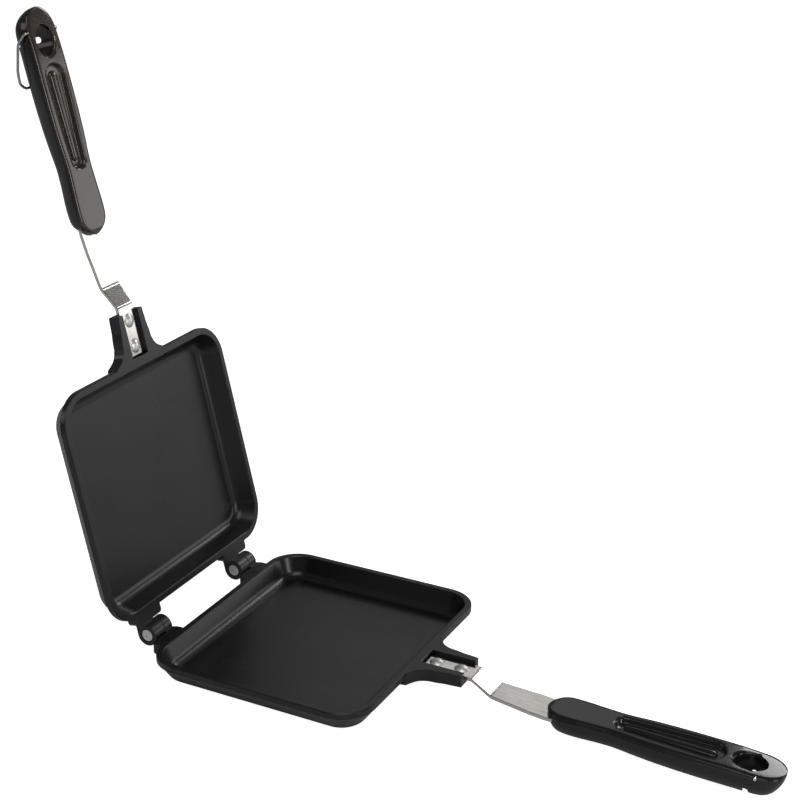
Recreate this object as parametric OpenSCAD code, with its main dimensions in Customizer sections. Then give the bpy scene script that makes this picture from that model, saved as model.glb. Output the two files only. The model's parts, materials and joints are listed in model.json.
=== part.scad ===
// Double sided flip pan: two equal cast pans on a pair of hinge pins, each with a steel
// tang and a two-piece handle, and a wire bail that swings over the handle tips.
// Millimetres. Origin at the centre of the lower pan's base, X to the handles, Z up.
// Each half is drawn once, lying below its rim face with the hinge axis on the Y line
// through zero; the upper half is the same drawing turned over and swung open.

/* [Pans] */
// Width of a pan across the hinge direction
pan_w = 150; // [130:1:180]
// Length of a pan from the hinge side to the handle side
pan_l = 130; // [110:1:150]
// Height of one pan from its rim face to its base
pan_h = 13.5; // [11:0.5:20]
// Radius of the rim corners
corner_r = 19.3; // [16:0.1:26]
// Width of the flat rim face
rim_band = 4; // [3:0.5:6]
// Height of the rim edge
rim_t = 3.8; // [3:0.2:5]
// Thickness of the pan floor
floor_t = 2.3; // [1.8:0.1:3.5]
// Angle between the two rim faces with the pan open
open_angle = 103.25; // [60:0.25:110]

/* [Hinge] */
// Distance from the hinge axis to the rim edges
axis_to_rim = 11.7; // [11:0.1:18]
// Distance from the side of the pan to the plane between the knuckles of a pair
lug_inset = 30.9; // [29:0.1:50]
// Width of a knuckle of the lower pan
knuckle_w = 6.5; // [6:0.1:8]
// Width of a knuckle of the upper pan, with the pin head let into its end
head_knuckle_w = 8.9; // [7:0.1:10]
// Radius of the knuckles
knuckle_r = 6; // [5.5:0.1:7]
// Radius of the hinge pins
pin_r = 2; // [1.5:0.1:2.5]

/* [Tangs] */
// Thickness of the steel strip
tang_t = 2; // [1.5:0.1:2.5]
// Width of the strip between the prongs
tang_w = 13.6; // [11:0.2:13.8]
// Width of the strip at the handle
tang_wide = 19; // [16:0.5:20]
// Distance from the rim edge to the start of the handle
tang_reach = 71.5; // [64:0.5:90]
// Radius of the rivet shanks
rivet_r = 2; // [1.5:0.1:2.4]

/* [Handles] */
// Length of a handle
handle_len = 124; // [112:0.5:140]
// Width of a handle compared with the drawn one
handle_fat = 1; // [0.95:0.01:1.1]
// Radius of the hanging hole
hang_r = 7; // [5:0.1:7.5]
// Radius of the handle screws
screw_r = 1.8; // [1.4:0.1:2.2]

/* [Bail] */
// Radius of the bail wire
wire_r = 0.75; // [0.6:0.05:0.9]
// Distance from the middle of the handle to each bail leg
leg_y = 13.4; // [13.4:0.1:15]

/* [Hidden] */
$fn = 64;

// Clearances
face_gap = 0.15;    // from each rim face to the plane through the hinge axis
knuckle_gap = 0.15; // from each knuckle to the plane between the two
pin_gap = 0.05;     // running fit of a hinge pin
head_gap = 0.3;     // under and round a hinge pin head
wire_gap = 0.05;    // running fit of the bail ends
seat_gap = 0.05;    // round the tub in its seat

// Heads of the hinge pins, let into the upper knuckles
pin_head_r = 3.3;
head_depth = 1.5;

// Pan section, measured inwards from the rim edge and down from the rim face
cavity_h = pan_h - floor_t;
cavity_r = 6;
cavity_inset = 12.7;
belly_r = 5;
belly_inset = 10.3;
step_in = 1;
edge_r = 0.4;
cut = 1;

// Places along X from the hinge axis
mid_x = axis_to_rim + pan_l / 2;
rim_x = axis_to_rim + pan_l;
arm_x = knuckle_r + 1;
fork_x = rim_x + 26.8;
channel_x = rim_x + 1.6;
channel_w = 14;
tang_x = rim_x + 2.5;
rivet_x = [rim_x + 7.7, rim_x + 22.1];
bend_in_x = rim_x + 30.5;
bend_out_x = rim_x + 42.4;
handle_x = rim_x + tang_reach;
base_z = -face_gap - pan_h;

// Plane between the knuckles, and the reach of the lug arms to each side of it
lug_y = pan_w / 2 - lug_inset;
arm_short = 8.2;
arm_long = 14.4;

// Heights from the plane of the hinge axis
tang_z = -2.4;
bend_z = -9;
grip_z = -11.8;
fork_h = 6.85;

// Handle frame: from its pan end, along the seam between shell and cover
seam_z = -9.8;
grip_slope = 1.5;
face_h = 1.8;
grip_len = 32;
strip_z = grip_z - seam_z;

// Handle stations: along, half width, depth below the seam, height above the seam
stations = [
  [0, 0.6, 0.7, 0.3], [0.5, 2.2, 2.4, 0.8], [1.4, 4.2, 4.4, 1.35], [2.6, 6.2, 6.4, 1.65],
  [3.9, 7.9, 8, 1.78], [5.4, 9.3, 9.4, face_h], [7.4, 10.5, 10.5, face_h],
  [9.9, 11.2, 11.1, face_h], [13.4, 11.4, 11.4, face_h], [18.8, 11.3, 11.5, face_h],
  [24.8, 10.9, 11.3, face_h], [30.8, 10.6, 11.1, face_h], [36.8, 10.4, 11.1, face_h],
  [42.8, 10.6, 11.5, face_h], [48.8, 11.2, 11.9, face_h], [54.8, 11.7, 12.2, face_h],
  [60.8, 12, 12.5, face_h], [66.8, 12.2, 12.7, face_h], [72.8, 12.3, 12.9, face_h],
  [80.8, 12.4, 13, face_h], [90.8, 12.3, 13.1, face_h], [98.8, 12.2, 13.1, face_h],
  [104.8, 12, 13.2, face_h], [110, 11.7, 13.2, face_h], [113.5, 11.1, 13, face_h],
  [116.3, 10.1, 12.2, face_h], [118.8, 8.7, 10.6, 1.78], [120.8, 7.1, 8.4, 1.7],
  [122.4, 5.2, 5.8, 1.5], [123.4, 3.3, 3.5, 1.1], [124, 1.1, 1.2, 0.5]
];

// Handle length compared with the stations, and places along it
k = handle_len / stations[len(stations) - 1][0];
hang_s = handle_len - 17.7;
pivot_s = handle_len - 12.4;
notch_s = handle_len - 16.6;
notch_r = 1.8;
notch_z = -13.2;
recess_s = [46 * k, 84 * k];
recess_r = [5, 7.2];
recess_h = 2.6;
tub_wall = 1.4;
rib_r = 2.2;
rib_h = 1.7;
peg_s = recess_s + [7, -7];
peg_r = 1.6;
peg_h = 6;
screw_s = [13, 26];
screw_head_r = 3;
screw_head_h = 2;
screw_seat_z = -8.6;
stub_len = 3.5;

// Bail path from its pivot: along, down, and distance from the middle of the handle
bail_in = 8.8;
bar_y = 8;
bend_d = 2.4;
bail_path = [
  [0, 0, bail_in], [0, 0, leg_y], [-4.5, -6.5, leg_y], [-18.4, -11.7, leg_y],
  [-24.7, -12.9, leg_y - 0.6], [-27.6, -14.1, bar_y]
];

// Tangent point on a circle for a line that starts at p
function tangent(p, c, r) =
  let (d = c - p, l = norm(d), b = atan2(d[1], d[0]) + asin(r / l))
  p + sqrt(l * l - r * r) * [cos(b), sin(b)];

// ---- frames ----

module lower() {
  translate([-mid_x, 0, -base_z]) children();
}

module upper() {
  lower() rotate([0, -open_angle, 0]) rotate([180, 0, 0]) children();
}

// The handle leans away from the plane of the hinge axis
module grip() {
  translate([handle_x, 0, seam_z]) rotate([0, grip_slope, 0]) children();
}

// ---- shared shapes ----

// A tray with the child section run round all four sides and filled across the middle
module tray(low, high) {
  half_l = pan_l / 2 - corner_r;
  half_w = pan_w / 2 - corner_r;
  signs = [[1, 1], [-1, 1], [-1, -1], [1, -1]];
  for (i = [0 : 3])
    translate([signs[i][0] * half_l, signs[i][1] * half_w, 0])
      rotate([0, 0, 90 * i]) rotate_extrude(angle = 90) children();
  tray_bar(2 * half_l, half_w, low, high) children();
  rotate([0, 0, 90]) tray_bar(2 * half_w, half_l, low, high) children();
}

module tray_bar(length, half, low, high) {
  translate([-length / 2, 0, 0]) rotate([90, 0, 90]) linear_extrude(length) {
    translate([half, 0]) children();
    mirror([1, 0]) translate([half, 0]) children();
    translate([-half, low]) square([2 * half, high - low]);
  }
}

module outer_section() {
  shoulder = [corner_r - step_in, -rim_t];
  centre = [corner_r - belly_inset, belly_r - pan_h];
  intersection() {
    union() {
      polygon([
        [0, 0], [corner_r - edge_r, 0], [corner_r, -edge_r],
        [corner_r, edge_r - rim_t], [corner_r - edge_r, -rim_t],
        shoulder, tangent(shoulder, centre, belly_r), [centre[0], -pan_h], [0, -pan_h]
      ]);
      translate(centre) circle(r = belly_r);
    }
    translate([0, -pan_h]) square([corner_r, pan_h]);
  }
}

module cavity_section() {
  lip = [corner_r - rim_band, 0];
  centre = [corner_r - cavity_inset, cavity_r - cavity_h];
  intersection() {
    union() {
      polygon([
        [0, cut], lip + [edge_r, cut], lip + [edge_r, 0],
        lip + [0, -edge_r], tangent(lip + [0, -edge_r], centre, cavity_r),
        [centre[0], -cavity_h], [0, -cavity_h]
      ]);
      translate(centre) circle(r = cavity_r);
    }
    translate([0, -cavity_h]) square([corner_r, cavity_h + cut]);
  }
}

// A round bar along Y
module bar_y_axis(r, y0, y1) {
  translate([0, y0, 0]) rotate([-90, 0, 0]) cylinder(r = r, h = y1 - y0);
}

// A solid through a list of rings that all have the same number of points
module loft(rings) {
  n = len(rings[0]);
  m = len(rings);
  sides = [
    for (i = [0 : m - 2], j = [0 : n - 1])
      let (a = i * n + j, b = i * n + (j + 1) % n)
        each [[a, b, a + n], [b, b + n, a + n]]
  ];
  ends = [[for (j = [n - 1 : -1 : 0]) j], [for (j = [0 : n - 1]) (m - 1) * n + j]];
  polyhedron([for (r = rings) each r], concat(sides, ends));
}

// ---- pan ----

// Knuckle and arm of one hinge lug: y0 is the arm's edge on the side of the other pan's
// knuckle, y1 its edge on the side of its own knuckle of width w
module lug(w, y0, y1) {
  step = y1 - w;
  bar_y_axis(knuckle_r, knuckle_gap, w);
  translate([0, 0, -knuckle_r]) linear_extrude(knuckle_r - face_gap)
    polygon([
      [0, knuckle_gap], [arm_x, knuckle_gap], [arm_x, y0 + 1.6], [arm_x + 0.5, y0 + 0.5],
      [arm_x + 1.6, y0], [axis_to_rim + 5, y0], [axis_to_rim + 5, y1],
      [arm_x + 2.6, y1], [arm_x + 1.1, w + 0.85 * step], [arm_x, w + 0.45 * step],
      [arm_x - 1, w + 0.1 * step], [arm_x - 2, w], [0, w]
    ]);
}

// The forked lug that takes the tang
module fork() {
  flare = [
    [-8, 24], [0.4, 22.4], [1.7, 19.6], [3.3, 16.7], [4.8, 15.1], [6.4, 14.1],
    [9.2, 13], [13, 12.6], [18, 11.6], [26.8, 10.8]
  ];
  plan = concat(
    [for (p = flare) [rim_x + p[0], p[1]]],
    [for (i = [len(flare) - 1 : -1 : 0]) [rim_x + flare[i][0], -flare[i][1]]]
  );
  translate([0, 0, -face_gap - fork_h]) linear_extrude(fork_h) polygon(plan);
}

// One pan with knuckles of width w, and counterbores for the pin heads if head_r is above 0
module pan(w, y0, y1, bore_r, head_r) {
  difference() {
    union() {
      translate([mid_x, 0, -face_gap]) tray(-pan_h, 0) outer_section();
      for (y = [-lug_y, lug_y]) translate([0, y, 0]) lug(w, y0, y1);
      fork();
    }
    translate([mid_x, 0, -face_gap]) tray(-cavity_h, cut) cavity_section();
    translate([channel_x, -channel_w / 2, tang_z - tang_t])
      cube([fork_x - channel_x + cut, channel_w, tang_t - tang_z + cut]);
    for (x = rivet_x) translate([x, 0, -fork_h - cut]) cylinder(r = rivet_r, h = fork_h + cut);
    for (y = [-lug_y, lug_y]) translate([0, y, 0]) {
      bar_y_axis(bore_r, -cut, w + cut);
      if (head_r > 0) bar_y_axis(head_r, w - head_depth, w + cut);
    }
  }
}

module lower_pan() {
  color("#3a3a3c") lower() pan(knuckle_w, -arm_long, arm_short, pin_r, 0);
}

module upper_pan() {
  color("#2f2f31") upper()
    pan(head_knuckle_w, -arm_short, arm_long, pin_r + pin_gap, pin_head_r + head_gap + 0.2);
}

// ---- hinge pins ----

module pin(y) {
  head_y = y - head_knuckle_w + 0.1;
  color("#c8c8c8") lower() difference() {
    union() {
      bar_y_axis(pin_r, head_y, y + knuckle_w + 0.4);
      bar_y_axis(pin_head_r, head_y, y - head_knuckle_w + head_depth - head_gap);
    }
    translate([0, head_y - 0.4, 0]) bar_y_axis(1, 0, 0.7);
  }
}

module near_hinge_pin() {
  pin(-lug_y);
}

module far_hinge_pin() {
  pin(lug_y);
}

// ---- tangs ----

module tang_blank() {
  top = [
    [tang_x, tang_z], [bend_in_x, tang_z], [bend_out_x, bend_z], [handle_x + 1, grip_z],
    [handle_x + grip_len, grip_z - (grip_len - 1) * tan(grip_slope)]
  ];
  side = concat(top, [for (i = [len(top) - 1 : -1 : 0]) top[i] - [0, tang_t]]);
  half = [
    [tang_x, tang_w / 2 - 1], [tang_x + 1, tang_w / 2], [bend_in_x, tang_w / 2],
    [bend_out_x, tang_w / 2 + 1], [bend_out_x + 6, tang_w / 2 + 1.4],
    [bend_out_x + 14, tang_wide / 2 - 0.7], [handle_x - 6, tang_wide / 2],
    [handle_x + 7.4, tang_wide / 2], [handle_x + 14, tang_wide / 2 - 3.4],
    [handle_x + grip_len - 2, tang_wide / 2 - 3.4], [handle_x + grip_len, tang_wide / 2 - 5.4]
  ];
  plan = concat(half, [for (i = [len(half) - 1 : -1 : 0]) [half[i][0], -half[i][1]]]);
  intersection() {
    rotate([90, 0, 0]) translate([0, 0, -20]) linear_extrude(40) polygon(side);
    translate([0, 0, -20]) linear_extrude(20) polygon(plan);
  }
}

module tang() {
  difference() {
    tang_blank();
    for (x = rivet_x) translate([x, 0, tang_z - tang_t - cut])
      cylinder(r = rivet_r, h = tang_t + 2 * cut);
    grip() for (s = screw_s) translate([s, 0, strip_z - tang_t - cut])
      cylinder(r = screw_r, h = tang_t + 2 * cut);
  }
}

module lower_tang() {
  color("#b8b8b4") lower() tang();
}

module upper_tang() {
  color("#b8b8b4") upper() tang();
}

// Domed rivet through the strip and the floor between the prongs
module rivet(x) {
  head_r = 4;
  head_h = 1.8;
  dome_r = (head_r * head_r + head_h * head_h) / (2 * head_h);
  tail_z = -face_gap - fork_h;
  translate([x, 0, tail_z - 1]) cylinder(r = rivet_r, h = tang_z - tail_z + 1.5);
  translate([x, 0, tail_z - 1]) cylinder(r1 = head_r - 0.5, r2 = head_r, h = 1);
  translate([x, 0, tang_z]) intersection() {
    translate([0, 0, head_h - dome_r]) sphere(r = dome_r);
    cylinder(r = head_r + cut, h = head_h + cut);
  }
}

module lower_inner_rivet() {
  color("#d8d8d4") lower() rivet(rivet_x[0]);
}

module lower_outer_rivet() {
  color("#d8d8d4") lower() rivet(rivet_x[1]);
}

module upper_inner_rivet() {
  color("#d8d8d4") upper() rivet(rivet_x[0]);
}

module upper_outer_rivet() {
  color("#d8d8d4") upper() rivet(rivet_x[1]);
}

// ---- handles ----

function shell_ring(s) =
  let (steps = 16, p = 0.8, w = s[1] * handle_fat)
  [for (i = [0 : steps])
    let (a = 180 * i / steps, c = cos(a), v = max(sin(a), 0))
    [s[0] * k, w * sign(c) * pow(abs(c), p), -s[2] * pow(v, p)]];

function cover_ring(s) =
  let (
    w = s[1] * handle_fat, h = s[3], x = s[0] * k,
    half = [
      [w, 0], [w - min(0.25, 0.1 * w), 0.45 * h],
      [w - min(1.1, 0.3 * w), 0.85 * h], [w - min(2.4, 0.55 * w), h]
    ]
  )
  concat(
    [for (i = [len(half) - 1 : -1 : 0]) [x, half[i][0], half[i][1]]],
    [for (q = half) [x, -q[0], q[1]]]
  );

// The hanging hole stands square to the rim face, so it is drawn outside the handle frame
module hang_hole() {
  face_z = seam_z + face_h - hang_s * tan(grip_slope);
  translate([handle_x + hang_s, 0, face_z]) {
    translate([0, 0, -40]) cylinder(r = hang_r, h = 50);
    translate([0, 0, -0.8]) cylinder(r1 = hang_r, r2 = hang_r + 1.2, h = 1.2);
  }
}

// Side holes at the seam for the bail ends or the stub pins
module pivot_holes(r) {
  for (s = [0, 1]) mirror([0, s, 0]) translate([pivot_s, 0, 0]) bar_y_axis(r, bail_in - 0.3, 16);
}

// Outline of the recess in the handle frame, grown by a margin
module recess_plan(margin) {
  for (i = [0, 1]) translate([recess_s[i], 0]) circle(r = recess_r[i] + margin);
  polygon([
    [recess_s[0], -recess_r[0] - margin], [recess_s[1], -recess_r[1] - margin],
    [recess_s[1], recess_r[1] + margin], [recess_s[0], recess_r[0] + margin]
  ]);
}

// The tub under the recess, let into the shell
module tub(margin) {
  h = recess_h + tub_wall - face_h + margin;
  translate([0, 0, -h]) linear_extrude(h + 0.5) recess_plan(tub_wall + margin);
}

module rib(r, h) {
  for (s = recess_s) translate([s, 0, -cut]) cylinder(r = r, h = h + cut);
  translate([recess_s[0], -r, -cut]) cube([recess_s[1] - recess_s[0], 2 * r, h + cut]);
}

module shell(hole_r) {
  difference() {
    grip() difference() {
      loft([for (s = stations) shell_ring(s)]);
      tub(seat_gap);
      pivot_holes(hole_r);
      translate([notch_s, 0, notch_z]) bar_y_axis(notch_r, -20, 20);
      for (s = peg_s) translate([s, 0, -peg_h - 0.3]) cylinder(r = peg_r, h = peg_h + cut);
      for (s = screw_s) translate([s, 0, -20]) {
        cylinder(r = screw_r, h = 20 + strip_z);
        cylinder(r = screw_head_r + 0.3, h = 20 + screw_seat_z);
      }
    }
    tang_blank();
    hang_hole();
  }
}

module cover(hole_r) {
  difference() {
    grip() difference() {
      union() {
        loft([for (s = stations) cover_ring(s)]);
        tub(0);
        for (s = peg_s) translate([s, 0, -peg_h]) cylinder(r = peg_r, h = peg_h - 1);
      }
      pivot_holes(hole_r);
      translate([0, 0, face_h - recess_h]) difference() {
        linear_extrude(recess_h + cut) recess_plan(0);
        rib(rib_r, rib_h - 0.5);
        rib(rib_r - 0.6, rib_h);
      }
    }
    hang_hole();
  }
}

module lower_handle_shell() {
  color("#1c1c1d") lower() shell(wire_r);
}

module upper_handle_shell() {
  color("#1c1c1d") upper() shell(wire_r + wire_gap);
}

module lower_handle_cover() {
  color("#242425") lower() cover(wire_r);
}

module upper_handle_cover() {
  color("#6b665f") upper() cover(wire_r + wire_gap);
}

// ---- handle screws ----

module screw(s) {
  grip() translate([s, 0, screw_seat_z]) difference() {
    union() {
      translate([0, 0, -cut / 2]) cylinder(r = screw_r, h = strip_z - screw_seat_z + cut / 2);
      translate([0, 0, -screw_head_h]) cylinder(r = screw_head_r, h = screw_head_h);
    }
    for (a = [0, 90]) translate([0, 0, -screw_head_h])
      rotate([0, 0, a]) cube([3.4, 0.8, 2], center = true);
  }
}

module lower_front_screw() {
  color("#9a9a98") lower() screw(screw_s[0]);
}

module lower_rear_screw() {
  color("#9a9a98") lower() screw(screw_s[1]);
}

module upper_front_screw() {
  color("#9a9a98") upper() screw(screw_s[0]);
}

module upper_rear_screw() {
  color("#9a9a98") upper() screw(screw_s[1]);
}

// ---- stub pins of the lower handle ----

module stub(s) {
  color("#c8c8c8") lower() grip() mirror([0, s, 0])
    translate([pivot_s, 0, 0]) bar_y_axis(wire_r, bail_in - 0.3, bail_in + stub_len);
}

module near_stub_pin() {
  stub(1);
}

module far_stub_pin() {
  stub(0);
}

// ---- bail ----

function unit(v) = v / norm(v);

// A rounded corner at p on the way from a to b
function corner(a, p, b) =
  let (steps = 5, s = p - unit(p - a) * bend_d, e = p + unit(b - p) * bend_d)
  [for (i = [0 : steps])
    let (t = i / steps) (1 - t) * (1 - t) * s + 2 * t * (1 - t) * p + t * t * e];

// A ring of the wire square to the direction d
function wire_ring(p, d) =
  let (steps = 16, n = unit(cross(d, [-1, 0, 1])), m = cross(unit(d), n))
  [for (i = [0 : steps - 1])
    let (a = 360 * i / steps) p + wire_r * (cos(a) * n + sin(a) * m)];

module lock_bail() {
  side = [for (p = bail_path) [pivot_s + p[0], p[2], p[1]]];
  last = len(side) - 1;
  bent = concat(side, [for (i = [last : -1 : 0]) [side[i][0], -side[i][1], side[i][2]]]);
  n = len(bent);
  path = concat(
    [bent[0]],
    [for (i = [1 : n - 2]) each corner(bent[i - 1], bent[i], bent[i + 1])],
    [bent[n - 1]]
  );
  m = len(path);
  color("#4a4a4a") upper() grip()
    loft([for (i = [0 : m - 1]) wire_ring(path[i], path[min(i + 1, m - 1)] - path[max(i - 1, 0)])]);
}

lower_pan();
upper_pan();
near_hinge_pin();
far_hinge_pin();
lower_tang();
lower_inner_rivet();
lower_outer_rivet();
lower_handle_shell();
lower_handle_cover();
lower_front_screw();
lower_rear_screw();
near_stub_pin();
far_stub_pin();
upper_tang();
upper_inner_rivet();
upper_outer_rivet();
upper_handle_shell();
upper_handle_cover();
upper_front_screw();
upper_rear_screw();
lock_bail();
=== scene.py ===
"""Looks of the double sided flip pan: materials, rounded handles, strips, wire and studio.

Sizes are millimetres in the frame of one half: the hinge axis on the Y line through zero, X to
the handle, the rim face just below Z = 0. Handle sizes are in the handle's own frame: its pan
end at zero, the seam between shell and cover at Z = 0. Finished pieces are in metres.
"""
import json
import math

import bmesh
import bpy
from mathutils import Matrix, Vector


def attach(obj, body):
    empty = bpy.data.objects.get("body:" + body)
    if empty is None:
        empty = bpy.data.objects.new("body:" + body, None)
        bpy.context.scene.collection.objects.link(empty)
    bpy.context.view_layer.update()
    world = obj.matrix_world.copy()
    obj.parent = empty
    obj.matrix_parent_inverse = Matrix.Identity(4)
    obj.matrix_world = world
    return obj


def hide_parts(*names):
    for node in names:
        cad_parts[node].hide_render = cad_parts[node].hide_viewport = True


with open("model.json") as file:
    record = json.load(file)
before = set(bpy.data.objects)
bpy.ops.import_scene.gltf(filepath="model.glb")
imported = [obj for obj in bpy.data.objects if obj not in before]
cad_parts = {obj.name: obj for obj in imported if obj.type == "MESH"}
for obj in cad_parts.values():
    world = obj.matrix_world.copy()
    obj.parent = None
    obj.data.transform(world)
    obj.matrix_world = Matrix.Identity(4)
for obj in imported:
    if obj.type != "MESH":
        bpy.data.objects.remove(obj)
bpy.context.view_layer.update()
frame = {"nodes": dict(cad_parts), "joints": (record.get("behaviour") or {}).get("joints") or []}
joints = {j["name"]: j for j in frame["joints"]}

# ---- sizes of the part ----

OPEN_ANGLE = math.radians(103.25)
AXIS = Vector(joints["main_hinge"]["pos_m"])
HALVES = {
    "lower": Matrix.Translation(AXIS),
    "upper": (
        Matrix.Translation(AXIS)
        @ Matrix.Rotation(-OPEN_ANGLE, 4, "Y")
        @ Matrix.Rotation(math.pi, 4, "X")
    ),
}
BODY = {"lower": "lower_half", "upper": "upper_half"}
TO_METRES = Matrix.Scale(0.001, 4)

# The rim, and the handle that leans away from it
RIM_X = 141.7
HANDLE_X = RIM_X + 71.5
HANDLE_LEN = 124.0
SEAM_Z = -9.8
SLOPE = math.radians(1.5)
GRIP = Matrix.Translation((HANDLE_X, 0, SEAM_Z)) @ Matrix.Rotation(SLOPE, 4, "Y")

# Handle stations: along, half width, depth below the seam, height above the seam
STATIONS = (
    (0, 0.3, 0.4, 0.2), (0.5, 2.2, 2.4, 0.8), (1.4, 4.2, 4.4, 1.35), (2.6, 6.2, 6.4, 1.65),
    (3.9, 7.9, 8.0, 1.78), (5.4, 9.3, 9.4, 1.8), (7.4, 10.5, 10.5, 1.8), (9.9, 11.2, 11.1, 1.8),
    (13.4, 11.4, 11.4, 1.8), (18.8, 11.3, 11.5, 1.8), (24.8, 10.9, 11.3, 1.8),
    (30.8, 10.6, 11.1, 1.8), (36.8, 10.4, 11.1, 1.8), (42.8, 10.6, 11.5, 1.8),
    (48.8, 11.2, 11.9, 1.8), (54.8, 11.7, 12.2, 1.8), (60.8, 12.0, 12.5, 1.8),
    (66.8, 12.2, 12.7, 1.8), (72.8, 12.3, 12.9, 1.8), (80.8, 12.4, 13.0, 1.8),
    (90.8, 12.3, 13.1, 1.8), (98.8, 12.2, 13.1, 1.75), (104.8, 12.0, 13.2, 1.5),
    (110, 11.8, 13.2, 1.22), (113.5, 11.4, 13.0, 1.02), (116.3, 10.6, 12.2, 0.86),
    (118.8, 9.3, 10.6, 0.72), (120.8, 7.7, 8.4, 0.62), (122.4, 5.7, 5.8, 0.54),
    (123.4, 3.6, 3.5, 0.45), (124, 0.3, 0.4, 0.2),
)

# Handle sections: the step in at the seam, the squareness of the back and the cover's side
SHELL_STEP = 0.4
COVER_STEP = 0.35
STEP_H = 0.3
END_SHARE = 0.3
SHELL_SIDE_INSET = 0.04
COVER_SIDE_INSET = 0.03
BACK_POWER = 0.8
FACE_H = 1.8
SHOULDER = 2.6
SHOULDER_SHARE = 0.6
SIDE_SHARE = 0.2

# Recess, tub and rib: ends along the handle with their radii, and the wall's growth and height
RECESS_S = (42.0, 86.0)
RECESS_R = (5.0, 7.2)
RECESS_FLOOR = FACE_H - 2.6
RECESS_WALL = (
    (1.9, FACE_H + 0.6), (1.1, FACE_H), (0.7, FACE_H - 0.2), (0.35, FACE_H - 0.5),
    (0.1, FACE_H - 1), (-0.2, RECESS_FLOOR + 0.6), (-0.5, RECESS_FLOOR + 0.2),
    (-1.1, RECESS_FLOOR),
)
TUB_WALL = 1.4
TUB_GAP = 0.02
TUB_TOP = 0.5
RIB_S = (43.2, 86.6)
RIB_R = (2.4, 3.3)
RIB_H = 1.7
RIB_ROOT = 0.4
RIB_CROWN = 0.2

# Cutters: how far they reach past the handle, and the hanging hole's growth and height
CUT = 20
HANG_S = HANDLE_LEN - 17.7
HANG_X = HANDLE_X + HANG_S
HANG_Z = SEAM_Z + FACE_H - HANG_S * math.tan(SLOPE)
HANG_R = 7.0
HANG_STRETCH = 1.2
HANG_WALL = ((0.2, -2 * CUT), (0.2, -1.2), (0.3, -0.9), (0.6, -0.65), (1.2, -0.45), (2.2, 0.6))
NOTCH_S = HANDLE_LEN - 17.2
NOTCH_Z = -9.2
NOTCH_R = 1.6
SCREW_S = (13.0, 26.0)
SCREW_HEAD_R = 3.3
SCREW_SEAT_Z = -8.6

# Bail, with its path from the pivot: along, distance from the handle's middle, height
WIRE_R = 0.75
PIVOT_S = HANDLE_LEN - 12.4
PIVOT_R = WIRE_R + 0.2
BAIL_BEND = 1.9
BAIL_PATH = (
    (0, 8.8, 0), (0, 13.4, 0), (-4.5, 13.4, -6.5), (-18.4, 13.4, -11.7), (-24.7, 12.8, -12.9),
    (-27.6, 8, -14.1),
)

# Strip: the path of its top in X and Z, its half widths along X and the rounding of its edges
STRIP_T = 2.0
STRIP_START = RIM_X + 2.5
STRIP_Z = -2.4
BEND_1 = RIM_X + 30.5
BEND_2 = RIM_X + 42.4
BEND_Z = -9.0
BEND_REACH = 1.3
GRIP_START = HANDLE_X + 1
GRIP_Z = -11.8
STRIP_END = HANDLE_X + 32
STRIP_PATH = (
    (STRIP_START, STRIP_Z), (BEND_1, STRIP_Z), (BEND_2, BEND_Z), (GRIP_START, GRIP_Z),
    (STRIP_END, GRIP_Z - (STRIP_END - GRIP_START) * math.tan(SLOPE)),
)
STRIP_WIDTHS = (
    (STRIP_START, 5.8), (STRIP_START + 0.4, 6.4), (STRIP_START + 1.2, 6.8), (BEND_1 - 4, 6.8),
    (BEND_1 + 1, 6.85), (BEND_2, 7.75), (BEND_2 + 6, 8.2), (BEND_2 + 14, 8.8),
    (HANDLE_X - 6, 9.45), (HANDLE_X + 4, 9.5), (HANDLE_X + 14, 6.1), (STRIP_END, 6.1),
)
STRIP_EDGE = ((0.35, 0), (0.3, 0), (0.08, 0.08), (0, 0.3), (0, 0.35))

# Rivets: places along X, the domed head, and the shank and tail as radius and height
RIVETS = {"inner_rivet": RIM_X + 7.7, "outer_rivet": RIM_X + 22.1}
RIVET_R = 4.0
RIVET_H = 1.8
RIVET_TAIL = (
    (RIVET_R, -0.01), (2, -0.02), (2, -4.5), (4, -4.6), (3.9, -4.8), (3.5, -5.55), (0, -5.6),
)


# ---- mesh helpers ----

POINT_R = 0.001
WELD = 1e-5


def smooth_value(x, rows, column):
    """Monotone cubic value of a column of rows at x; column 0 holds the places."""
    xs = [r[0] for r in rows]
    ys = [r[column] for r in rows]
    x = min(max(x, xs[0]), xs[-1])
    i = max(k for k in range(len(xs) - 1) if xs[k] <= x)

    def slope(k):
        if k in (0, len(xs) - 1):
            a = max(k - 1, 0)
            return (ys[a + 1] - ys[a]) / (xs[a + 1] - xs[a])
        before = (ys[k] - ys[k - 1]) / (xs[k] - xs[k - 1])
        after = (ys[k + 1] - ys[k]) / (xs[k + 1] - xs[k])
        if before * after <= 0:
            return 0.0
        return 2 * before * after / (before + after)

    h = xs[i + 1] - xs[i]
    t = (x - xs[i]) / h
    return (
        (2 * t**3 - 3 * t**2 + 1) * ys[i]
        + (t**3 - 2 * t**2 + t) * h * slope(i)
        + (3 * t**2 - 2 * t**3) * ys[i + 1]
        + (t**3 - t**2) * h * slope(i + 1)
    )


def circle(steps):
    """Cosine and sine of equal steps round a full turn."""
    turns = [math.tau * i / steps for i in range(steps)]
    return [(math.cos(a), math.sin(a)) for a in turns]


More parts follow.
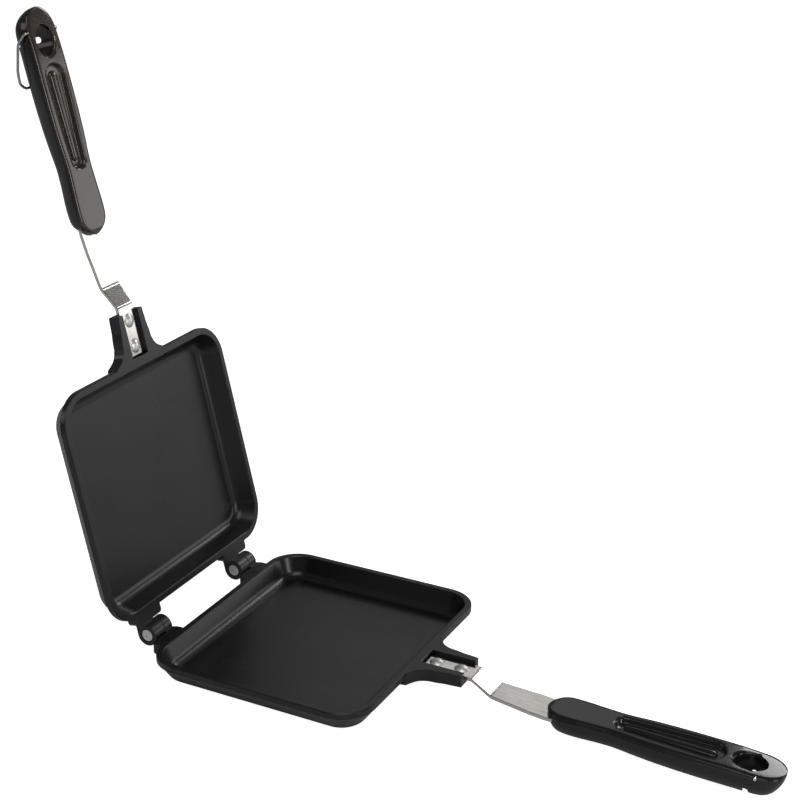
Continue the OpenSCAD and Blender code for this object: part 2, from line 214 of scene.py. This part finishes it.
def loft(name, rings):
    """A closed object through rings of equal length; each ring is a closed loop of points."""
    n = len(rings[0])
    verts = [tuple(p) for ring in rings for p in ring]
    faces = [tuple(range(n)), tuple(reversed(range(len(verts) - n, len(verts))))]
    for i in range(len(rings) - 1):
        for j in range(n):
            a = i * n + j
            b = i * n + (j + 1) % n
            faces.append((a, a + n, b + n, b))
    mesh = bpy.data.meshes.new(name)
    mesh.from_pydata(verts, [], faces)
    mesh.validate()
    bm = bmesh.new()
    bm.from_mesh(mesh)
    bmesh.ops.remove_doubles(bm, verts=bm.verts, dist=WELD)
    bmesh.ops.recalc_face_normals(bm, faces=bm.faces)
    bm.to_mesh(mesh)
    bm.free()
    obj = bpy.data.objects.new(name, mesh)
    bpy.context.scene.collection.objects.link(obj)
    return obj


def lathe(name, x, z, profile, steps=64):
    """Turns a (radius, height) profile round the vertical line at x, with z as its zero."""
    rings = []
    for radius, h in profile:
        r = max(radius, POINT_R)
        rings.append([(x + r * c, r * s, z + h) for c, s in circle(steps)])
    return loft(name, rings)


def across(name, outline):
    """A cutter with one outline of (along, height), right across the handle."""
    return loft(name, [[(s, y, z) for s, z in outline] for y in (-CUT, CUT)])


def mirrored(x, half):
    """A closed ring at x from its right half's (side, height) points; the middle isn't doubled."""
    right = [(x, y, z) for y, z in half]
    left = [(x, -y, z) for y, z in reversed(half) if y > WELD]
    return right + left


def combine(obj, operation, *tools):
    """Cuts the tools out of obj or joins them to it, and deletes them."""
    for tool in tools:
        mod = obj.modifiers.new(operation, "BOOLEAN")
        mod.operation = operation
        mod.solver = "EXACT"
        mod.object = tool
    bpy.context.view_layer.update()
    deps = bpy.context.evaluated_depsgraph_get()
    mesh = bpy.data.meshes.new_from_object(obj.evaluated_get(deps))
    obj.modifiers.clear()
    obj.data = mesh
    for tool in tools:
        bpy.data.objects.remove(tool)


def finish_piece(obj, half, material, node, sharp=38, body=None):
    """Puts a piece of one half in place, in metres, and hands it to its body."""
    obj.data.transform(TO_METRES)
    obj.matrix_world = HALVES[half]
    for polygon in obj.data.polygons:
        polygon.use_smooth = True
    obj.data.set_sharp_from_angle(angle=math.radians(sharp))
    obj.data.materials.clear()
    obj.data.materials.append(material)
    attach(obj, body or BODY[half])
    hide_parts(node)


# ---- material helpers ----

# Colour sockets of a Mix node: the two inputs and the output
MIX_A = 6
MIX_B = 7
MIX_OUT = 2


class Nodes:
    """Short names for building one node tree."""

    def __init__(self, name):
        self.material = bpy.data.materials.new(name)
        self.material.use_nodes = True
        self.tree = self.material.node_tree
        self.shader = self.tree.nodes["Principled BSDF"]
        self.coords = self.tree.nodes.new("ShaderNodeTexCoord")

    def new(self, kind, **values):
        """A node, with its settings and the values of its inputs given by name."""
        node = self.tree.nodes.new("ShaderNode" + kind)
        for key, value in values.items():
            if hasattr(node, key):
                setattr(node, key, value)
            else:
                node.inputs[key].default_value = value
        return node

    def link(self, a, b):
        self.tree.links.new(a, b)

    def noise(self, scale, detail=4.0, stretch=(1, 1, 1), roughness=0.5):
        mapping = self.new("Mapping", Scale=stretch)
        self.link(self.coords.outputs["Object"], mapping.inputs["Vector"])
        node = self.new("TexNoise", Scale=scale, Detail=detail, Roughness=roughness)
        self.link(mapping.outputs["Vector"], node.inputs["Vector"])
        return node.outputs["Fac"]

    def ramp(self, value, low, high, start=0.3, end=0.7):
        """Colour from low to high as the value goes from start to end."""
        node = self.new("ValToRGB")
        for element, place, colour in zip(node.color_ramp.elements, (start, end), (low, high)):
            element.position = place
            element.color = (*colour, 1)
        self.link(value, node.inputs["Fac"])
        return node.outputs["Color"]

    def span(self, value, low, high, start=0.3, end=0.7):
        """Number from low to high as the value goes from start to end."""
        node = self.new("MapRange")
        numbers = (("From Min", start), ("From Max", end), ("To Min", low), ("To Max", high))
        for key, number in numbers:
            node.inputs[key].default_value = number
        self.link(value, node.inputs["Value"])
        return node.outputs["Result"]

    def lighten(self, factor, under, colour):
        """Goes from the colour under it to another where the factor is 1."""
        node = self.new("Mix", data_type="RGBA")
        self.link(factor, node.inputs["Factor"])
        self.link(under, node.inputs[MIX_A])
        node.inputs[MIX_B].default_value = (*colour, 1)
        return node.outputs[MIX_OUT]

    def edges(self, radius):
        """1 on sharp outer edges and in corners, 0 on flat faces."""
        bevel = self.new("Bevel", Radius=radius)
        geometry = self.new("NewGeometry")
        dot = self.new("VectorMath", operation="DOT_PRODUCT")
        self.link(bevel.outputs["Normal"], dot.inputs[0])
        self.link(geometry.outputs["Normal"], dot.inputs[1])
        return self.span(dot.outputs["Value"], 1.0, 0.0, start=0.82, end=0.995)

    def paint(self, colour, roughness, **constants):
        """Connects a colour and a roughness, and sets constants on the shader's own sockets."""
        self.link(colour, self.shader.inputs["Base Color"])
        self.link(roughness, self.shader.inputs["Roughness"])
        for key, value in constants.items():
            self.shader.inputs[key].default_value = value

    def bump(self, *layers, round_edges=0.0):
        """Layers are (height, strength, distance in metres) on top of softened edges."""
        last = None
        if round_edges:
            last = self.new("Bevel", Radius=round_edges)
        for height, strength, distance in layers:
            node = self.new("Bump", Strength=strength, Distance=distance)
            self.link(height, node.inputs["Height"])
            if last:
                self.link(last.outputs["Normal"], node.inputs["Normal"])
            last = node
        self.link(last.outputs["Normal"], self.shader.inputs["Normal"])


def shades(tone, *factors):
    """The tone made darker or lighter by each factor."""
    return [tuple(min(c * f, 1) for c in tone) for f in factors]


def coating_material(name, tone, rough):
    """Satin black non-stick coating with fine orange peel, and edges and corners painted lighter,
    partly as wear and partly as a painted highlight.
    """
    m = Nodes(name)
    dark, light, worn_and_highlit_edge = shades(tone, 0.85, 1.15, 2.4)
    cloud = m.noise(22, detail=5)
    peel = m.noise(620, detail=3)
    grain = m.noise(2600, detail=2)
    # Sharp edges and corners are painted lighter: partly rubbed wear, partly a painted highlight
    # along the rim edges.
    colour = m.lighten(m.edges(0.0006), m.ramp(cloud, dark, light), worn_and_highlit_edge)
    m.paint(colour, m.span(cloud, rough * 0.92, rough * 1.08), IOR=1.5)
    m.bump((peel, 0.06, 0.0002), (grain, 0.05, 0.0001), round_edges=0.0005)
    return m.material


def moulding_material(name, tone, rough, ior=1.5):
    """Glossy black moulding with a soft waviness, faint dust, and edges and corners painted
    lighter, partly as wear and partly as a painted highlight.
    """
    m = Nodes(name)
    dark, light, dusty, worn_and_highlit_edge = shades(tone, 0.85, 1.15, 1.8, 2.0)
    cloud = m.noise(35, detail=4)
    wave = m.noise(160, detail=2)
    dust = m.noise(900, detail=6, roughness=0.7)
    specks = m.span(dust, 0.0, 1.0, start=0.60, end=0.78)
    dusted = m.lighten(specks, m.ramp(cloud, dark, light), dusty)
    # Sharp edges and corners are painted lighter: partly rubbed wear, partly a painted highlight
    # along lips and shoulders.
    colour = m.lighten(m.edges(0.0004), dusted, worn_and_highlit_edge)
    m.paint(colour, m.span(cloud, rough * 0.85, rough * 1.15), IOR=ior)
    m.bump((wave, 0.015, 0.0004), (dust, 0.006, 0.00005), round_edges=0.0003)
    return m.material


def brushed_material(name, tone, rough):
    """Bright sheet metal with fine lines along it and darker edges."""
    m = Nodes(name)
    dark, light, edge = shades(tone, 0.84, 1.1, 0.62)
    lines = m.noise(1500, detail=3, stretch=(0.04, 1, 1))
    cloud = m.noise(60, detail=4)
    wave = m.noise(45, detail=2)
    colour = m.lighten(m.edges(0.0003), m.ramp(lines, dark, light), edge)
    m.paint(colour, m.span(cloud, rough * 0.85, rough * 1.15), Metallic=1.0)
    m.bump((lines, 0.10, 0.00005), (wave, 0.05, 0.0008))
    return m.material


def polished_material(name, tone, rough):
    """Polished metal with light scratches and small dents."""
    m = Nodes(name)
    dark, light = shades(tone, 0.88, 1.0)
    cloud = m.noise(180, detail=3)
    dents = m.noise(900, detail=3)
    roughness = m.span(dents, rough * 0.7, rough * 1.3)
    m.paint(m.ramp(cloud, dark, light), roughness, Metallic=1.0)
    m.bump((dents, 0.08, 0.0001))
    return m.material


PAN_LOWER = coating_material("lower_coating", (0.008, 0.008, 0.0086), 0.27)
# The upper pan has the same coating as the lower; this copy is painted a little lighter and
# rougher to stand for the light on that half.
PAN_UPPER_PAINTED_LIGHTER = coating_material("upper_coating_painted_lighter", (0.010, 0.010, 0.0106), 0.29)
MOULDING = moulding_material("black_moulding", (0.010, 0.0102, 0.0108), 0.15)
# The upper cover is the same black moulding as the rest; this browner, glossier copy is a painted
# reflection of the warm sheen on its face.
MOULDING_PAINTED_SHEEN = moulding_material("black_moulding_painted_sheen", (0.028, 0.020, 0.012), 0.17, ior=1.7)
STRIP = brushed_material("strip_steel", (0.66, 0.65, 0.615), 0.13)
RIVET = polished_material("rivet_metal", (0.92, 0.91, 0.89), 0.42)
PIN = polished_material("pin_steel", (0.82, 0.82, 0.82), 0.16)
SCREW = polished_material("screw_steel", (0.5, 0.5, 0.5), 0.3)
WIRE = polished_material("drawn_wire", (0.5, 0.5, 0.51), 0.22)


# ---- handles ----

def handle_places(count=150):
    """Places along the handle, closer together at its rounded ends."""
    return [HANDLE_LEN * (1 - math.cos(math.pi * i / count)) / 2 for i in range(count + 1)]


def shell_ring(s, steps=24):
    """Deep rounded back, with a small step in at the seam."""
    w = smooth_value(s, STATIONS, 1)
    d = smooth_value(s, STATIONS, 2)
    half = [
        (w - min(SHELL_STEP, END_SHARE * w), 0),
        (w - SHELL_SIDE_INSET, -min(STEP_H, END_SHARE * d)),
    ]
    for i in range(1, steps + 1):
        a = math.pi / 2 * i / steps
        half.append((w * abs(math.cos(a)) ** BACK_POWER, -d * math.sin(a) ** BACK_POWER))
    return mirrored(s, half)


def cover_ring(s, steps=10):
    """Flat face with rounded shoulders, with a small step in at the seam."""
    w = smooth_value(s, STATIONS, 1)
    h = smooth_value(s, STATIONS, 3)
    shoulder = min(SHOULDER, SHOULDER_SHARE * w)
    half = [
        (w - min(COVER_STEP, END_SHARE * w), 0),
        (w - COVER_SIDE_INSET, min(STEP_H, SIDE_SHARE * h)),
    ]
    for i in range(1, steps + 1):
        a = math.pi / 2 * i / steps
        rise = SIDE_SHARE + (1 - SIDE_SHARE) * math.sin(a)
        half.append((w - shoulder * (1 - math.cos(a)), h * rise))
    half += [((w - shoulder) * part, h) for part in (0.66, 0.33, 0)]
    return mirrored(s, half)


def slot_loop(places, radii, z, steps=24):
    """A long loop at height z round two places on the handle, with a radius for each."""
    loop = []
    for k, turn in ((1, -0.5), (0, 0.5)):
        for i in range(steps + 1):
            a = math.pi * (turn + i / steps)
            loop.append((places[k] + radii[k] * math.cos(a), radii[k] * math.sin(a), z))
    return loop


def recess_loop(growth, z):
    return slot_loop(RECESS_S, [r + growth for r in RECESS_R], z)


def tub(gap, top):
    """The block under the recess, let into the shell with a gap and up to a height."""
    low = RECESS_FLOOR - TUB_WALL - gap
    return loft("tub", [recess_loop(TUB_WALL + gap, z) for z in (low, top)])


def recess():
    """Steep walls that round over at the face and run out softly at the floor."""
    return loft("recess", [recess_loop(growth, z) for growth, z in RECESS_WALL])


def rib(steps=9):
    """A bar along the floor of the recess; its arc stops part of a step short of the crown."""
    rings = [slot_loop(RIB_S, RIB_R, RECESS_FLOOR - RIB_ROOT)]
    for i in range(steps):
        a = math.pi / 2 * i / (steps - 1 + RIB_CROWN)
        radii = [r * math.cos(a) for r in RIB_R]
        rings.append(slot_loop(RIB_S, radii, RECESS_FLOOR + RIB_H * math.sin(a)))
    return loft("rib", rings)


def hanging_hole():
    """The oval hole stands square to the rim face, so it is turned back into the handle frame."""
    rings = []
    for growth, h in HANG_WALL:
        r = HANG_R + growth
        reach = r + HANG_STRETCH
        rings.append([(HANG_X + reach * c, r * s, HANG_Z + h) for c, s in circle(96)])
    hole = loft("hole", rings)
    hole.data.transform(GRIP.inverted())
    return hole


def pivot_holes():
    """A rod across the tip, which cuts both side holes."""
    return across("pivot", [(PIVOT_S + PIVOT_R * c, PIVOT_R * s) for c, s in circle(48)])


def notch():
    """A round-bottomed slot across the back of the shell for the bar of the bail."""
    half_turn = circle(48)[:25]
    arch = [(NOTCH_S + NOTCH_R * c, NOTCH_Z + NOTCH_R * s) for c, s in half_turn]
    return across("notch", arch + [(NOTCH_S - NOTCH_R, -CUT), (NOTCH_S + NOTCH_R, -CUT)])


def screw_seat(s):
    return lathe("seat", s, 0, ((SCREW_HEAD_R, -CUT), (SCREW_HEAD_R, SCREW_SEAT_Z)))


def handle_shell(half):
    obj = loft(half + "_shell", [shell_ring(s) for s in handle_places()])
    cutters = [hanging_hole(), notch(), pivot_holes(), tub(TUB_GAP, FACE_H)]
    cutters += [screw_seat(s) for s in SCREW_S]
    combine(obj, "DIFFERENCE", *cutters)
    obj.data.transform(GRIP)
    finish_piece(obj, half, MOULDING, half + "_handle_shell")


def handle_cover(half, material):
    obj = loft(half + "_cover", [cover_ring(s) for s in handle_places()])
    combine(obj, "UNION", tub(0, TUB_TOP))
    combine(obj, "DIFFERENCE", recess(), hanging_hole(), pivot_holes())
    combine(obj, "UNION", rib())
    obj.data.transform(GRIP)
    finish_piece(obj, half, material, half + "_handle_cover")


# ---- strips ----

def rounded(points, reach, steps=8):
    """The path through the points with each corner rounded over a reach to both sides."""
    path = [Vector(points[0])]
    for a, p, b in zip(points, points[1:], points[2:]):
        a, p, b = Vector(a), Vector(p), Vector(b)
        start = p + (a - p).normalized() * reach
        end = p + (b - p).normalized() * reach
        for i in range(steps + 1):
            t = i / steps
            path.append((1 - t) ** 2 * start + 2 * t * (1 - t) * p + t**2 * end)
    return path + [Vector(points[-1])]


def strip_line():
    """Points (x, z) along the top of a strip, at most 1 mm apart."""
    corners = rounded(STRIP_PATH, BEND_REACH)
    line = []
    for a, b in zip(corners, corners[1:]):
        steps = max(1, math.ceil(b.x - a.x))
        line += [a.lerp(b, i / steps) for i in range(steps)]
    return line + corners[-1:]


def strip(half):
    rings = []
    for x, z in strip_line():
        w = smooth_value(x, STRIP_WIDTHS, 1)
        top = [(w - inset, z - drop) for inset, drop in STRIP_EDGE]
        bottom = [(w - inset, z - STRIP_T + drop) for inset, drop in reversed(STRIP_EDGE)]
        rings.append(mirrored(x, top + bottom))
    finish_piece(loft(half + "_strip", rings), half, STRIP, half + "_tang")


def rivet(half, name, x, steps=12):
    """Domed head on the strip and a low cone under the prongs."""
    dome = (RIVET_R**2 + RIVET_H**2) / (2 * RIVET_H)
    radii = [RIVET_R * i / steps for i in range(steps + 1)]
    head = [(r, RIVET_H - dome + math.sqrt(dome**2 - r**2)) for r in radii]
    obj = lathe(half + "_" + name, x, STRIP_Z, head + list(RIVET_TAIL))
    finish_piece(obj, half, RIVET, half + "_" + name)


# ---- bail ----

def bail():
    """A round wire swept along the path and its mirror image."""
    side = [(PIVOT_S + s, y, z) for s, y, z in BAIL_PATH]
    path = rounded(side + [(s, -y, z) for s, y, z in reversed(side)], BAIL_BEND)
    rings = []
    for i, p in enumerate(path):
        ahead = path[min(i + 1, len(path) - 1)] - path[max(i - 1, 0)]
        n = ahead.cross(Vector((-1, 0, 1))).normalized()
        m = ahead.normalized().cross(n)
        rings.append([p + WIRE_R * (c * n + s * m) for c, s in circle(24)])
    obj = loft("bail_wire", rings)
    obj.data.transform(GRIP)
    finish_piece(obj, "upper", WIRE, "lock_bail", sharp=60, body="bail")


# ---- the object ----

# The upper cover takes the moulding copy with the painted sheen.
for half, face in (("lower", MOULDING), ("upper", MOULDING_PAINTED_SHEEN)):
    handle_shell(half)
    handle_cover(half, face)
    strip(half)
    for name, x in RIVETS.items():
        rivet(half, name, x)
bail()

CAD_LOOKS = (
    (PAN_LOWER, ("lower_pan",)),
    (PAN_UPPER_PAINTED_LIGHTER, ("upper_pan",)),
    (PIN, ("near_hinge_pin", "far_hinge_pin", "near_stub_pin", "far_stub_pin")),
    (SCREW, ("lower_front_screw", "lower_rear_screw", "upper_front_screw", "upper_rear_screw")),
)
for material, names in CAD_LOOKS:
    for name in names:
        for slot in frame["nodes"][name].material_slots:
            slot.material = material


# ---- studio ----

WHITE = (1, 1, 1, 1)
ROOM_LIGHT = 0.14
FLOOR_GLOW = 0.95
FLOOR_TONE = 0.9
FLOOR_SIZE = 12
FLOOR_GAP = 0.0003

# Where the pan's base edge and the lower handle's back rest on the floor
FOOT = Vector((-0.0547, 0, 0))
HEEL = Vector((0.247, 0, -0.0126))

CAMERA_PLACE = AXIS + Vector((0.49753, -0.72967, 0.46417))
CAMERA_RIGHT = Vector((0.87243, 0.48864, -0.00987)).normalized()
CAMERA_AHEAD = Vector((-0.45906, 0.81235, -0.35966)).normalized()

# Area lights: name, place, target, width and height, power
CENTRE = (0, 0, 0.1)
LIGHTS = (
    ("key", (0.4, -0.6, 1.4), CENTRE, (0.9, 0.9), 5),
    ("softbox", (0.29, 1.2, 0.775), CENTRE, (0.58, 0.17), 2.3),
    ("backdrop", (1.2, 1.2, 0.34), CENTRE, (1.3, 0.54), 3.5),
    ("fill", (-0.39, 1.2, 0.85), CENTRE, (0.66, 0.3), 0.36),
    ("left", (-0.95, -0.6, 0.55), (-0.8, -0.45, 0), (0.5, 0.5), 1),
    ("edge", (1.15, -0.25, 0.45), CENTRE, (0.2, 0.7), 2.5),
)


def area_light(name, place, target, size, power):
    data = bpy.data.lights.new(name, "AREA")
    data.shape = "RECTANGLE"
    data.size, data.size_y = size
    data.energy = power
    obj = bpy.data.objects.new(name, data)
    bpy.context.scene.collection.objects.link(obj)
    obj.location = place
    aim = Vector(target) - Vector(place)
    obj.rotation_euler = aim.to_track_quat("-Z", "Y").to_euler()
    obj.visible_camera = False


def for_camera(tree, other, seen, target):
    """Gives the target a mix of two shaders, of which the camera sees the second one."""
    path = tree.nodes.new("ShaderNodeLightPath")
    mix = tree.nodes.new("ShaderNodeMixShader")
    tree.links.new(path.outputs["Is Camera Ray"], mix.inputs["Fac"])
    tree.links.new(other.outputs[0], mix.inputs[1])
    tree.links.new(seen.outputs[0], mix.inputs[2])
    tree.links.new(mix.outputs[0], target.inputs["Surface"])


def build_world():
    """White behind the object, a dimmer room for everything else."""
    world = bpy.data.worlds.new("studio")
    bpy.context.scene.world = world
    world.use_nodes = True
    tree = world.node_tree
    room = tree.nodes["Background"]
    room.inputs["Color"].default_value = WHITE
    room.inputs["Strength"].default_value = ROOM_LIGHT
    white = tree.nodes.new("ShaderNodeBackground")
    white.inputs["Color"].default_value = WHITE
    for_camera(tree, room, white, tree.nodes["World Output"])


def floor_material():
    """Pale and dull, with a glow that only the camera sees, so that it comes out white."""
    material = bpy.data.materials.new("floor")
    material.use_nodes = True
    tree = material.node_tree
    shader = tree.nodes["Principled BSDF"]
    shader.inputs["Base Color"].default_value = (FLOOR_TONE, FLOOR_TONE, FLOOR_TONE, 1)
    shader.inputs["Roughness"].default_value = 0.9
    shader.inputs["Specular IOR Level"].default_value = 0.0
    glow = tree.nodes.new("ShaderNodeEmission")
    glow.inputs["Strength"].default_value = FLOOR_GLOW
    lit = tree.nodes.new("ShaderNodeAddShader")
    tree.links.new(shader.outputs[0], lit.inputs[0])
    tree.links.new(glow.outputs[0], lit.inputs[1])
    for_camera(tree, shader, lit, tree.nodes["Material Output"])
    return material


def build_floor():
    """A floor that the pan's base edge and the lower handle's back rest on."""
    tilt = math.atan2(FOOT.z - HEEL.z, HEEL.x - FOOT.x)
    drop = Matrix.Translation(FOOT - Vector((0, 0, FLOOR_GAP)))
    bpy.ops.mesh.primitive_plane_add(size=FLOOR_SIZE)
    floor = bpy.context.object
    floor.name = "floor"
    floor.matrix_world = drop @ Matrix.Rotation(tilt, 4, "Y")
    floor.data.materials.append(floor_material())


def build_camera():
    data = bpy.data.cameras.new("camera")
    data.sensor_width = 36
    data.lens = 78.105
    data.shift_x = 0.0891
    data.shift_y = -0.01365
    camera = bpy.data.objects.new("camera", data)
    bpy.context.scene.collection.objects.link(camera)
    up = CAMERA_RIGHT.cross(CAMERA_AHEAD)
    turn = Matrix((CAMERA_RIGHT, up, -CAMERA_AHEAD)).transposed().to_4x4()
    camera.matrix_world = Matrix.Translation(CAMERA_PLACE) @ turn
    bpy.context.scene.camera = camera


build_camera()
build_world()
build_floor()
for light in LIGHTS:
    area_light(*light)
bpy.context.scene.view_settings.view_transform = "Standard"
